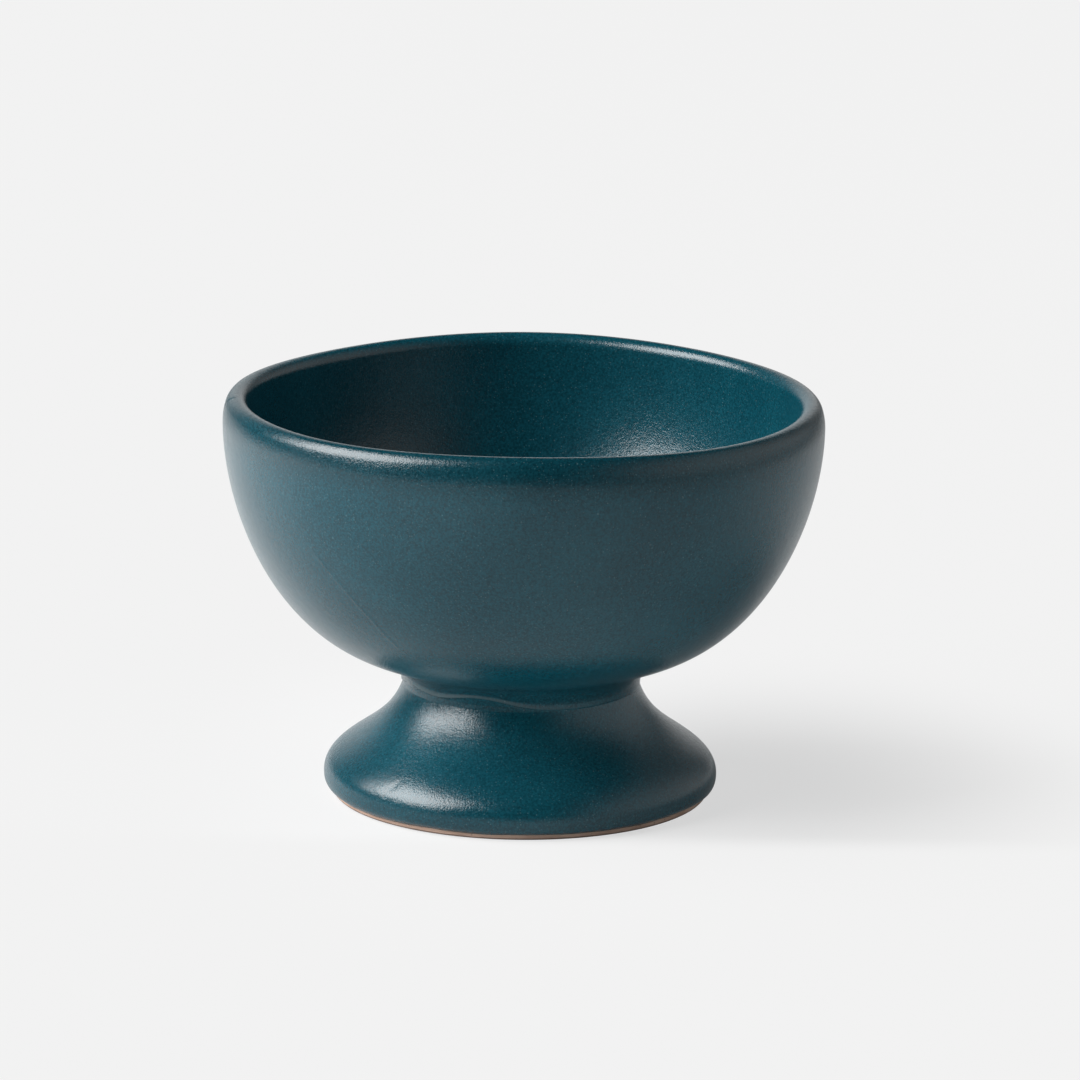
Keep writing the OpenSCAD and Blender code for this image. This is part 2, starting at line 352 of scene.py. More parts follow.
def rounding(centre, wide, tall, start, end, steps):
    """Part of an ellipse between two angles in degrees."""
    g = np.radians(np.linspace(start, end, steps + 1))
    return np.c_[centre[0] + wide * np.cos(g), centre[1] + tall * np.sin(g)]


def chain(*runs):
    """Runs of points as one, without the points that two runs share."""
    kept = [np.array(runs[0], float)]
    for run in runs[1:]:
        kept.append(run[1:] if np.allclose(run[0], kept[-1][-1]) else run)
    return np.vstack(kept)


def across(line):
    """Unit directions to the left of a line of points, which is into the clay all along."""
    along = np.gradient(line, axis=0)
    side = np.c_[-along[:, 1], along[:, 0]]
    return side / np.linalg.norm(side, axis=1)[:, None]


# %% Turn an outline into a mesh
EVERY_DEGREE = np.arange(0, 360, 1.0)
FINE = np.arange(0, 360, 0.75)
ON_AXIS = 1e-6


def in_space(outline, a):
    """An outline's points in space, turned to an angle in degrees."""
    g = math.radians(a)
    return np.c_[outline[:, 0] * math.cos(g), outline[:, 0] * math.sin(g), outline[:, 1]]


def turn(name, outline_at, angles):
    """A mesh through the outlines at these angles, all of one count of points."""
    outlines = [outline_at(a) for a in angles]
    count, steps = len(outlines), len(outlines[0])
    points = by_hand(np.vstack([in_space(o, a) for o, a in zip(outlines, angles)])) * MM
    on_axis = outlines[0][:, 0] < ON_AXIS
    faces = []
    for j in range(steps):
        k = (j + 1) % steps
        if on_axis[j] and on_axis[k]:
            continue
        for i in range(count):
            n = (i + 1) % count
            faces.append((i * steps + j, n * steps + j, n * steps + k, i * steps + k))
    made = bpy.data.meshes.new(name)
    made.from_pydata(points.tolist(), [], faces)
    return made


# %% Close and smooth a turned mesh
SAME_POINT = 1e-7
CREASE = 40


def finish_turned(mesh, crease=CREASE):
    """Closes the mesh where it meets the axis, turns its faces outwards and smooths it."""
    shape = bmesh.new()
    shape.from_mesh(mesh)
    bmesh.ops.remove_doubles(shape, verts=shape.verts, dist=SAME_POINT)
    bmesh.ops.recalc_face_normals(shape, faces=shape.faces)
    open_edges = sum(not e.is_manifold for e in shape.edges)
    shape.to_mesh(mesh)
    shape.free()
    mesh.polygons.foreach_set("use_smooth", np.ones(len(mesh.polygons), bool))
    mesh.set_sharp_from_angle(angle=math.radians(crease))
    print(f"{mesh.name}: {len(mesh.polygons)} faces, {open_edges} open edges")
    return show(mesh.name, mesh)


# %% [markdown]
# ## The joint between bowl and foot
# Under the bowl a hollow sweep runs down into the neck: part of an ellipse, upright at the joint and
# nearly level where the underside takes over. It mirrors the dark foot, so it looks almost black.
# Bowl and foot were scored, wetted and pressed together, and the soft clay that came out was wiped
# with a finger, nearly flat at the right and the back. It left a low bead that wanders up and down the
# sweep and mirrors the table, and with its crest painted paler it shows as one thin light line. The
# bowl's glaze starts at the bead's upper edge and the foot's glaze ends at the joint, so the bead's
# height at each angle comes first.

# %% The sweep under the bowl
NECK_R, STUB_R, JOINT_IN_R = 27.8, 27.4, 21.0
GLAZE_T = 0.4
JOINT_Z, JOINT_TOP_Z = 26.0, 26.7
UNDERSIDE_R, UNDERSIDE_Z = 34.9, 33.3
UNDER_SLOPE = 14.65

sweep_pull = math.tan(math.radians(UNDER_SLOPE)) * (UNDERSIDE_R - NECK_R) / (UNDERSIDE_Z - JOINT_Z)
sweep_turn = math.acos(sweep_pull / (1 - sweep_pull))
sweep_wide = (UNDERSIDE_R - NECK_R) / (1 - math.cos(sweep_turn))
sweep_tall = (UNDERSIDE_Z - JOINT_Z) / math.sin(sweep_turn)
print("sweep: ellipse", round(sweep_wide, 2), "by", round(sweep_tall, 2), "mm, turned through",
      round(math.degrees(sweep_turn), 1), "degrees")


def sweep_from(low, steps):
    """The sweep from a height up to the underside."""
    start = math.asin((low - JOINT_Z) / sweep_tall)
    return rounding((NECK_R + sweep_wide, JOINT_Z), sweep_wide, sweep_tall,
                    180 - math.degrees(start), 180 - math.degrees(sweep_turn), steps)


def neck_at(z):
    """Radius of the sweep at a height."""
    return NECK_R + sweep_wide * (1 - math.sqrt(1 - ((z - JOINT_Z) / sweep_tall)**2))


# %% Humps round the neck
def apart(a, b):
    """How far angle a is from b, from -180 to 180 degrees."""
    return (a - b + 540) % 360 - 180


def bump(d, w):
    """A smooth hump: 1 in its middle, falling away over a width."""
    return math.exp(-d * d / (w * w))


# %% The bead's height round the neck
BEAD_SLIM, BEAD_FULL = 1.6, 2.5
FULL_AT, FULL_W = 200, 22
DRAG_HIGH, DRAG_AT, DRAG_AFTER_W, DRAG_BEFORE_W = 2.6, 250, 19, 20
LIFT_HIGH, LIFT_AT, LIFT_W = 2.7, 204, 19
RIPPLE_HIGH, RIPPLES = 0.06, 7


def bead_top(a):
    """Height of the bead's upper edge at an angle: level, but for two drags and a ripple."""
    d = apart(a, DRAG_AT)
    drag = DRAG_HIGH * bump(d, DRAG_AFTER_W if d > 0 else DRAG_BEFORE_W)
    lift = LIFT_HIGH * bump(apart(a, LIFT_AT), LIFT_W)
    ripple = RIPPLE_HIGH * (1 + math.sin(math.radians(RIPPLES * a)))
    return JOINT_Z + BEAD_SLIM + drag + lift + ripple


def bead_height(a):
    """Height of the bead itself: slim nearly all round, full at the left where it was wiped least."""
    full = BEAD_SLIM + (BEAD_FULL - BEAD_SLIM) * bump(apart(a, FULL_AT), FULL_W)
    return min(full, bead_top(a) - JOINT_Z)


tops = [bead_top(a) - JOINT_Z for a in EVERY_DEGREE]
print("bead's upper edge lies", round(min(tops), 2), "to", round(max(tops), 2), "mm above the joint")

# %% [markdown]
# Potters score both faces before they stick them, so that the wet clay grips. In the closed joint the
# rings can't be seen. They are modelled all the same, because the solids have them and each piece has
# to fill the other's rings. One function draws a face, and both clay pieces and the slip use it.

# %% The scored faces
SCORES, SCORE_W, SCORE_DEEP = 3, 1.1, 0.5


def scored(z, deep):
    """A joint face with its scored rings, from the hollow outwards."""
    pitch = (STUB_R - JOINT_IN_R) / SCORES
    rows = [(JOINT_IN_R, z)]
    for k in range(SCORES):
        middle = JOINT_IN_R + (k + 0.5) * pitch
        rows += [(middle - SCORE_W / 2, z), (middle, z + deep), (middle + SCORE_W / 2, z)]
    return rows + [(STUB_R, z)]


print("each joint face has", SCORES, "scored rings,", SCORE_DEEP, "mm deep")

# %% The bead's ridge
PROUD_AT, PROUD_W = 228, 50
BEAD_EDGE = 0.3


def left_standing(a):
    """How much of the bead was left: 1 at the front left, and little where it was wiped flat."""
    return bump(apart(a, PROUD_AT), PROUD_W)


def onto_sweep(t):
    """How far the bead's lower edge has climbed from the smear to the sweep."""
    return math.sin(math.pi / 2 * min(t / BEAD_EDGE, 1))**2


def ridge(t):
    """Height of the bead's ridge from its lower edge (0) to its upper edge (1): up fast, down slowly."""
    fall = max((t - BEAD_EDGE) / (1 - BEAD_EDGE), 0)
    return onto_sweep(t) * math.cos(math.pi / 2 * fall)**2


# %% The slip and its bead
BEAD_PROUD, WIPED_PROUD = 0.4, 0.08
SMEAR_LEAN = 0.16
SMEAR_POINTS, BEAD_POINTS = 6, 21


def slip_outline(a):
    """The ring of slip between the faces, smeared up from the joint and ending in the bead."""
    top = bead_top(a)
    low = top - bead_height(a)
    proud = WIPED_PROUD + (BEAD_PROUD - WIPED_PROUD) * left_standing(a)
    smear = [(NECK_R - SMEAR_LEAN * (z - JOINT_Z), z) for z in np.linspace(JOINT_Z, low, SMEAR_POINTS)]
    smear_r = smear[-1][0]
    bead = []
    for t in np.linspace(0, 1, BEAD_POINTS)[1:]:
        z = low + t * (top - low)
        bead.append((smear_r + onto_sweep(t) * (neck_at(z) - smear_r) + proud * ridge(t), z))
    return np.array(scored(JOINT_Z, -SCORE_DEEP) + smear + bead + [(neck_at(top) - GLAZE_T, top)]
                    + scored(JOINT_TOP_Z, SCORE_DEEP)[::-1])


slip_joint = finish_turned(turn("wiped_slip_joint", slip_outline, FINE))

# %% [markdown]
# The bead's crest is painted paler, partly as thin glaze that ran off it and partly as a painted
# highlight. Which points those are is known from the shape, so they are marked on the mesh with a
# number from 0 to 1 that the glaze reads later.

# %% Mark the bead's crest
crest_share = []
for vertex in slip_joint.data.vertices:
    x, y, z = vertex.co / MM
    a = math.degrees(math.atan2(y, x)) % 360
    t = 1 - (bead_top(a) - z) / bead_height(a)
    on_bead = 0 < t < 1 and math.hypot(x, y) > STUB_R
    crest_share.append(ridge(t) * left_standing(a) if on_bead else 0)
crest = slip_joint.data.attributes.new("crest", "FLOAT", "POINT")
crest.data.foreach_set("value", crest_share)
print("points on the crest:", sum(share > 0 for share in crest_share), "of", len(crest_share))

# %% [markdown]
# ## The bowl
# The bowl's outside leaves the sweep almost level, swells into a full belly and rises nearly upright to
# the lip. The lip is a soft roll of four bends: a slow one out of the belly, a shoulder where the
# softbox draws a narrow bright streak, a tight crest, and a full rounding inwards. The glaze is
# modelled as the real coat is, as a thin shell over the clay, and the clay lies inside it.

# %% The lip's bends
BEND_R, BEND_TURN = 13.0, 18
SHOULDER_R, SHOULDER_TURN = 4.0, 48
CREST_R = 2.2
LIP_INNER_W, LIP_INNER_DROP = 2.5, 2.7

crest_z = TOTAL_H - CREST_R
shoulder_z = crest_z - (SHOULDER_R - CREST_R) * math.sin(math.radians(SHOULDER_TURN))
lip_z = shoulder_z - (BEND_R - SHOULDER_R) * math.sin(math.radians(BEND_TURN))
bend_centre = (RIM_R - BEND_R, lip_z)
shoulder_centre = step(bend_centre, BEND_R - SHOULDER_R, BEND_TURN)
crest_centre = step(shoulder_centre, SHOULDER_R - CREST_R, SHOULDER_TURN)
mouth_r, mouth_z = crest_centre[0] - LIP_INNER_W, TOTAL_H - LIP_INNER_DROP

lip = chain(
    rounding(bend_centre, BEND_R, BEND_R, 0, BEND_TURN, steps=14),
    rounding(shoulder_centre, SHOULDER_R, SHOULDER_R, BEND_TURN, SHOULDER_TURN, steps=16),
    rounding(crest_centre, CREST_R, CREST_R, SHOULDER_TURN, 90, steps=14),
    rounding((crest_centre[0], mouth_z), LIP_INNER_W, LIP_INNER_DROP, 90, 180, steps=24))
print("lip from", round(lip_z, 2), "mm up, its mouth", round(mouth_r, 2), "mm from the axis")

# %% The bowl's outline
FLOOR_Z = 39.2
BELLY_LOW, BELLY_HIGH = 0.692, 0.362
INSIDE_LOW, INSIDE_HIGH = 0.9, 0.5

underside = (UNDERSIDE_R, UNDERSIDE_Z)
belly = bend(underside, step(underside, BELLY_LOW * (RIM_R - UNDERSIDE_R), UNDER_SLOPE),
             (RIM_R, lip_z - BELLY_HIGH * (lip_z - UNDERSIDE_Z)), (RIM_R, lip_z), steps=150)
inside = bend((mouth_r, mouth_z), (mouth_r, mouth_z - INSIDE_HIGH * (mouth_z - FLOOR_Z)),
              (INSIDE_LOW * mouth_r, FLOOR_Z), (0, FLOOR_Z), steps=60)
bowl_skin = chain(belly, lip, inside)
under_skin = bowl_skin + GLAZE_T * across(bowl_skin)
under_skin[-1, 0] = 0
print("bowl outline of", len(bowl_skin), "points,", round(float(bowl_skin[:, 0].max()), 2), "mm out")

# %% [markdown]
# Two marks of the dipping are real shapes in the glaze: a small nick in the outside of the lip at the
# left, and a faint slanting edge low on the belly where two dips overlapped. They move the skin in or
# out along its own direction, and the columns of points are packed closer there to hold them.

# %% Lines on the glaze
def along_line(points, line):
    """How far along a line of points each point lies (0 to 1), and its distance from it."""
    best = np.full(len(points), np.inf)
    share = np.zeros(len(points))
    for k in range(len(line) - 1):
        run = line[k + 1] - line[k]
        t = np.clip((points - line[k]) @ run / (run @ run), 0, 1)
        away = np.linalg.norm(points - line[k] - t[:, None] * run, axis=1)
        nearer = away < best
        best = np.where(nearer, away, best)
        share = np.where(nearer, (k + t) / (len(line) - 1), share)
    return share, best


def groove(points, ends, deep, wide, blunt):
    """Depth in mm of a short groove between two points, with blunt ends."""
    share, away = along_line(points, ends)
    return deep * np.exp(-(away / wide)**2) * np.sin(np.pi * np.clip(share, blunt, 1 - blunt))


# %% Marks in the bowl's glaze
NICK_ENDS = np.array([(-69.3, -3.2, 92.5), (-67.0, -7.2, 94.9)])
NICK_DEEP, NICK_W, NICK_BLUNT = 0.4, 0.45, 0.12
OVERLAP = np.array([(-49.3, -45.2, 71.5), (-45.9, -47.6, 66.7), (-40.2, -49.2, 60.2),
                    (-34.5, -49.2, 53.7), (-28.8, -47.2, 46.9), (-24.5, -44.6, 43.0)])
OVERLAP_HIGH, OVERLAP_W = 0.08, 0.4


def marks(points):
    """How far the glaze stands out from its even skin, in mm."""
    share, away = along_line(points, OVERLAP)
    edge = OVERLAP_HIGH * np.exp(-(away / OVERLAP_W)**2) * np.sin(np.pi * share)**0.5
    return edge - groove(points, NICK_ENDS, NICK_DEEP, NICK_W, NICK_BLUNT)


print("nick", NICK_DEEP, "mm deep, edge of the two dips", OVERLAP_HIGH, "mm high")

# %% The glaze of the bowl
GLAZE_OVER_BEAD = 0.15
NICK_COLUMNS, OVERLAP_COLUMNS = (180, 190, 0.25), (220, 244, 0.33)


def packed(angles, *closer):
    """Angles all round with more in some ranges, each given as start, end and step."""
    return np.unique(np.round(np.concatenate([angles] + [np.arange(*c) for c in closer]), 2))


def bowl_glaze_outline(a):
    """The glaze over the bowl: its skin, and with fewer points the side that lies on the clay."""
    skin = bowl_skin - marks(in_space(bowl_skin, a))[:, None] * across(bowl_skin)
    skin[-1, 0] = 0
    neck = sweep_from(bead_top(a) - GLAZE_OVER_BEAD, steps=24)
    under_neck = neck + GLAZE_T * across(neck)
    return np.vstack([neck[:-1], skin, under_skin[::-6], under_neck[-2::-3]])


bowl_glaze = finish_turned(turn("glaze_of_the_bowl", bowl_glaze_outline,
                                packed(EVERY_DEGREE, NICK_COLUMNS, OVERLAP_COLUMNS)))

# %% [markdown]
# The bowl's clay shows nowhere, but the glaze has to lie on something. Its outside is the glaze's inner
# side with fewer points. Under its floor a shallow dome is hollowed, as a potter trims it, so that
# the clay isn't too thick there. At the neck it is set back further, because the slip that was wiped
# over it leans inwards.

# %% The clay of the bowl
DOME_Z, DOME_SHARE = 31.2, 0.55
NECK_SUNK = 1.1

dome = bend((JOINT_IN_R, JOINT_TOP_Z),
            (JOINT_IN_R, JOINT_TOP_Z + DOME_SHARE * (DOME_Z - JOINT_TOP_Z)),
            (DOME_SHARE * JOINT_IN_R, DOME_Z), (0, DOME_Z), steps=20)


def bowl_outline(a):
    """The clay bowl from the dome under its floor, over the joint face and up to the floor inside."""
    neck = sweep_from(JOINT_TOP_Z + GLAZE_T, steps=10)
    sunk_neck = neck + NECK_SUNK * across(neck)
    return np.vstack([dome[::-1], scored(JOINT_TOP_Z, SCORE_DEEP)[1:], sunk_neck,
                      under_skin[4:-1:4], [(0, FLOOR_Z - GLAZE_T)]])


bowl_clay = finish_turned(turn("clay_of_the_bowl", bowl_outline, EVERY_DEGREE[::2]))

# %% [markdown]
# ## The foot
# The foot flares from the neck to a soft rounded toe. It was glazed last and its standing ring wiped
# clean, so a strip of bare brown clay, rather more than a millimetre high, shows all round under a
# glaze edge that is slightly uneven. Where a run of glaze stopped above the toe there is a short
# slanting crease, which splits the lamp's patch there. Inside, the hollow is glazed too, down to a
# line above the table.

# %% The foot's outline
FOOT_R, BASE_R = 46.15, 44.0
TOE_Z, BARE_Z = 4.5, 1.4
TOE_LEAN, TOE_LOW, TOE_HIGH = 40, 0.5, 0.85
FLARE_LEAN, FLARE_LOW, FLARE_HIGH = 18, 0.37, 0.62

glaze_line = (BASE_R + GLAZE_T, BARE_Z)
joint_edge = (NECK_R, JOINT_Z)
flare_h = JOINT_Z - TOE_Z
toe = bend(glaze_line, step(glaze_line, TOE_LOW * (FOOT_R - glaze_line[0]), TOE_LEAN),
           (FOOT_R, TOE_Z - TOE_HIGH * (TOE_Z - BARE_Z)), (FOOT_R, TOE_Z), steps=24)
flare = bend((FOOT_R, TOE_Z), (FOOT_R, TOE_Z + FLARE_LOW * flare_h),
             step(joint_edge, FLARE_HIGH * flare_h, FLARE_LEAN - 90), joint_edge, steps=140)
foot_skin = chain(toe, flare)
foot_under = foot_skin + GLAZE_T * across(foot_skin)
foot_under[-1] = (NECK_R - GLAZE_T / math.cos(math.radians(FLARE_LEAN)), JOINT_Z)
print("foot outline of", len(foot_skin), "points,", FOOT_R, "mm out at its toe")

# %% The glaze of the foot
GLAZE_LINE = ((1, 0.16, 50), (3, 0.05, 40), (5, 0.06, 250),
              (8, 0.05, 10), (13, 0.035, 77), (29, 0.02, 5))
LINE_REACH = 1.2
EDGE_INNER, EDGE_LOWEST, EDGE_OUTER = (0.02, 0.05), (0.1, -0.03), (-0.12, -0.05)
RUN_ENDS = np.array([(-31.2, -33.0, 7.7), (-27.3, -32.6, 10.6)])
RUN_DEEP, RUN_W, RUN_BLUNT = 0.09, 1.0, 0.1
RUN_COLUMNS = (223, 234, 0.25)
SOFT_CREASE = 60


def line_shift(a):
    """How far the glaze line wanders from level at an angle, in mm."""
    return float(waves(math.radians(a), GLAZE_LINE))


def foot_glaze_outline(a):
    """The glaze of the foot, with a rounded lower edge that wanders a little."""
    rise = line_shift(a) * np.exp(-(foot_skin[:, 1] - BARE_Z) / LINE_REACH)
    wander = np.c_[np.zeros(len(rise)), rise]
    run = groove(in_space(foot_skin, a), RUN_ENDS, RUN_DEEP, RUN_W, RUN_BLUNT)
    skin = foot_skin + run[:, None] * across(foot_skin) + wander
    under = foot_under + wander
    edge = np.array([under[0] + EDGE_INNER, under[0] + EDGE_LOWEST, skin[0] + EDGE_OUTER])
    return np.vstack([edge, skin, under[::-4]])


foot_glaze = finish_turned(
    turn("glaze_of_the_foot", foot_glaze_outline, packed(FINE, RUN_COLUMNS)), SOFT_CREASE)

# %% [markdown]
# The foot's clay shows as the bare ring, with a slightly rounded lower edge. The rest of its outside is
# the glaze's inner side. Inside it is hollow like a bell, so that it dries and fires evenly, and the
# hollow's glaze ends above the table, because glaze that touched the kiln's shelf would stick to it.

# %% The clay of the foot
RING_EDGE, RING_TOP, WELL_R = 0.5, 0.85, 38.0
HOLLOW_LOW, HOLLOW_HIGH = 0.35, 0.55
RING_CREASE = 32

hollow = bend((WELL_R, 0), (WELL_R, HOLLOW_LOW * JOINT_Z),
              (JOINT_IN_R, JOINT_Z - HOLLOW_HIGH * JOINT_Z), (JOINT_IN_R, JOINT_Z), steps=40)
ring = rounding((BASE_R - RING_EDGE, RING_EDGE), RING_EDGE, RING_EDGE, -90, 0, steps=3)


def pedestal_outline(a):
    """The clay foot from its standing ring up the outside, across the joint and down the hollow."""
    face = [p for p in scored(JOINT_Z, -SCORE_DEEP) if p[0] < STUB_R][1:]
    return np.vstack([ring, [(BASE_R, RING_TOP)], foot_under[::4], face[::-1], hollow[::-1]])


pedestal = finish_turned(turn("clay_of_the_foot", pedestal_outline, EVERY_DEGREE), RING_CREASE)

# %% The glaze in the hollow
WELL_BARE_Z = 3.0
WELL_LINE_SHARE, WELL_EDGE_SHARE = 0.5, 0.9

well_wall = chain(hollow, dome)
well_skin = well_wall + GLAZE_T * across(well_wall)
well_skin[-1, 0] = 0
first = int(np.argmax(well_wall[:, 1] > WELL_BARE_Z))
well_line_r = np.interp(WELL_BARE_Z, hollow[:, 1], hollow[:, 0])


def well_glaze_outline(a):
    """The glaze in the hollow, from its lower line up over the dome."""
    z = WELL_BARE_Z + WELL_LINE_SHARE * line_shift(a)
    edge = [(well_line_r, z), (well_line_r - WELL_EDGE_SHARE * GLAZE_T, z)]
    return np.vstack([edge, well_skin[first:], well_wall[first:][::-1]])


well_glaze = finish_turned(turn("glaze_of_the_hollow", well_glaze_outline, FINE[::2]), SOFT_CREASE)

# %% [markdown]
# ## Shared effects
# Clay and glaze share what the kiln did to both: a slow cloudiness, small specks and a pebbled
# surface. The glazes also share a mottled body and a painted shade that darkens them in some places.
# Each effect is a node group, made once, with its sizes as inputs, so that every material can place it
# with its own values.

# %% Start a group of nodes
VALUE, COLOUR = "NodeSocketFloat", "NodeSocketColor"
PLACE = ("NodeSocketVector", (0, 0, 0))


def start_group(name, inputs, output, kind=VALUE):
    """A group with these named inputs (kind and value) and one output; gives tree, inputs, output."""
    made = bpy.data.node_groups.new(name, "ShaderNodeTree")
    for label, (input_kind, value) in inputs.items():
        socket = made.interface.new_socket(label, in_out="INPUT", socket_type=input_kind)
        socket.default_value = value
    made.interface.new_socket(output, in_out="OUTPUT", socket_type=kind)
    return made, put(made, "NodeGroupInput").outputs, put(made, "NodeGroupOutput").inputs[output]


# %% Cloudiness
CLOUD_FROM, CLOUD_TO = 0.3, 0.7

kiln_clouds, given, result = start_group(
    "kiln_clouds", {"Place": PLACE, "Per metre": (VALUE, 40.0)}, "Cloud")
slow = put(kiln_clouds, "ShaderNodeTexNoise", {
    "Vector": given["Place"], "Scale": given["Per metre"], "Detail": 4.0, "Roughness": 0.55})
kiln_clouds.links.new(fade(kiln_clouds, slow.outputs["Fac"], CLOUD_FROM, CLOUD_TO), result)
print("kiln_clouds: a slow change from 0 to 1")

# %% Specks
LEAST_WIDE, MORE_WIDE = 0.4, 0.8
LEAST_STRONG, MORE_STRONG = 0.25, 0.75

kiln_specks, given, result = start_group("kiln_specks", {
    "Place": PLACE, "Per metre": (VALUE, 900.0), "Size": (VALUE, 0.22), "Share": (VALUE, 0.4)}, "Speck")
cells = put(kiln_specks, "ShaderNodeTexVoronoi", {
    "Vector": given["Place"], "Scale": given["Per metre"], "Randomness": 1.0}).outputs
lot = put(kiln_specks, "ShaderNodeSeparateColor", {0: cells["Color"]}).outputs
chosen = math_of(kiln_specks, "LESS_THAN", lot[0], given["Share"])
wide = times(kiln_specks, given["Size"],
             math_of(kiln_specks, "MULTIPLY_ADD", lot[1], MORE_WIDE, LEAST_WIDE))
strength = math_of(kiln_specks, "MULTIPLY_ADD", lot[2], MORE_STRONG, LEAST_STRONG)
spot = fade(kiln_specks, cells["Distance"], 0.0, wide, 1.0, 0.0)
kiln_specks.links.new(times(kiln_specks, chosen, strength, spot), result)
print("kiln_specks: small round spots in some of the cells")

# %% Pebbled surface
COARSER, COARSE_HIGH = 0.22, 0.8

pebbled, given, result = start_group(
    "pebbled", {"Place": PLACE, "Per metre": (VALUE, 1800.0)}, "Height")
fine = put(pebbled, "ShaderNodeTexNoise", {
    "Vector": given["Place"], "Scale": given["Per metre"], "Detail": 2.0, "Roughness": 0.6})
coarse = put(pebbled, "ShaderNodeTexNoise", {
    "Vector": given["Place"], "Scale": times(pebbled, given["Per metre"], COARSER),
    "Detail": 2.0, "Roughness": 0.5})
pebbled.links.new(math_of(
    pebbled, "MULTIPLY_ADD", coarse.outputs["Fac"], COARSE_HIGH, fine.outputs["Fac"]), result)
print("pebbled: a fine and a coarser roughness in one height")

# %% [markdown]
# The glaze's own colour drifts slowly over centimetres, and a mottle finer than a millimetre lies over
# it. Both come from the same clouds at two sizes, multiplied, so that the pattern goes all round
# without a seam. Painted shade darkens some places in the base colour. Such a place depends only on
# the height and the distance from the axis, so two soft steps find it and no vertex colour is needed.

# %% The body of the glaze
DEEP = (0.003, 0.06, 0.0855, 1)
MIDDLE = (0.0045, 0.073, 0.102, 1)
MOTTLE_DARK, MOTTLE_LIGHT = 0.72, 1.34


def blend_colours(tree, share, first, second, how="MIX"):
    """Two colours mixed by a share from 0 to 1, or multiplied."""
    made = put(tree, "ShaderNodeMix", {0: share, 6: first, 7: second}, data_type="RGBA", blend_type=how)
    return made.outputs[2]


glaze_body, given, result = start_group("glaze_body", {
    "Cloud": (VALUE, 0.5), "Mottle": (VALUE, 0.5), "Tone": (VALUE, 1.0)}, "Colour", COLOUR)
strength = times(glaze_body, given["Tone"], math_of(
    glaze_body, "MULTIPLY_ADD", given["Mottle"], MOTTLE_LIGHT - MOTTLE_DARK, MOTTLE_DARK))
glaze_body.links.new(blend_colours(
    glaze_body, 1.0, blend_colours(glaze_body, given["Cloud"], DEEP, MIDDLE), strength, "MULTIPLY"),
    result)
print("glaze_body: a dark blue-green, cloudy and finely mottled")

# %% Painted shade by height and radius
OUTSIDE_FROM, OUTSIDE_TO = -0.0015, 0.0005

painted_shade_band, given, result = start_group("painted_shade_band", {
    "Place": PLACE, "Low": (VALUE, 0.0), "High": (VALUE, 0.1), "Below": (VALUE, 0.0),
    "Above": (VALUE, 0.0), "Outside": (VALUE, 0.0)}, "Thickness")
at = put(painted_shade_band, "ShaderNodeSeparateXYZ", {0: given["Place"]}).outputs
by_height = fade(painted_shade_band, at["Z"], given["Low"], given["High"], given["Below"], given["Above"])
by_radius = fade(painted_shade_band, from_axis(painted_shade_band, at),
                 math_of(painted_shade_band, "ADD", given["Outside"], OUTSIDE_FROM),
                 math_of(painted_shade_band, "ADD", given["Outside"], OUTSIDE_TO))
painted_shade_band.links.new(times(painted_shade_band, by_height, by_radius), result)
# The group gives a share of painted shade, above or below a height and outside a radius.
print("painted_shade_band: more glaze above or below a height, outside a radius")


# %% Place a group in a material
def place(tree, group, **inputs):
    """A group's only output, with its inputs filled; an underscore in a name stands for a space."""
    named = {name.replace("_", " "): value for name, value in inputs.items()}
    return put(tree, "ShaderNodeGroup", named, node_tree=group).outputs[0]


def grains(tree, spot, per_metre, high):
    """A normal that pebbles tilt, by a height in mm."""
    return put(tree, "ShaderNodeBump", {
        "Strength": 1.0, "Distance": high * MM,
        "Height": place(tree, pebbled, Place=spot, Per_metre=per_metre)}).outputs[0]


def start_material(name):
    """An empty material, its tree and the place on the object that its patterns hang on."""
    made = bpy.data.materials.new(name)
    tree = start_tree(made)
    return made, tree, put(tree, "ShaderNodeTexCoord").outputs["Object"]


# %% [markdown]
# ## The satin glaze
# The glaze is a dark blue-green with tiny pale crystals in it. It is satin: the crystals roughen its
# skin, so a lamp shows as a soft patch whose edge breaks up into grains. A clear coat over a matt
# colour would draw that patch too sharp and too even. One gloss is used instead, and the grains come
# from a pebbled height that tilts it. Pale specks are laid over the mottled body. The bowl's glaze is
# a little darker than the foot's all over. Painted shade darkens the outside of the lip by up to
# 27 percent, and the foot low down towards its toe by up to 20 percent.

# %% Glaze values
PALE = (0.16, 0.27, 0.29, 1)
PAINTED_SHADE_COLOUR = (0, 0, 0, 1)
# A pale crest colour: partly thin glaze, partly a painted highlight.
CREST_THIN_AND_HIGHLIT = (0.05, 0.11, 0.13, 1)
BOWL_TONE = 0.86
# Painted shade: the outside of the lip is darkened above 84 mm, and the foot below 2 cm.
LIP_PAINTED_SHADE = dict(Low=0.084, High=0.091, Below=0, Above=0.27, Outside=0.0667)
TOE_PAINTED_SHADE = dict(Low=0.007, High=0.02, Below=0.2, Above=0)
CLOUDS, MOTTLE, PEBBLES = 45.0, 1900.0, 2300.0
CRYSTALS = dict(Per_metre=1800.0, Size=0.38, Share=0.6)
FLECKS = dict(Per_metre=420.0, Size=0.15, Share=0.14)
SPECK_COVER = 0.45
GRAIN_MM = 0.07
SATIN = (0.2, 0.25)
GLOSS_IOR = 1.55
print("satin: roughness", SATIN, "with grains", GRAIN_MM, "mm high")


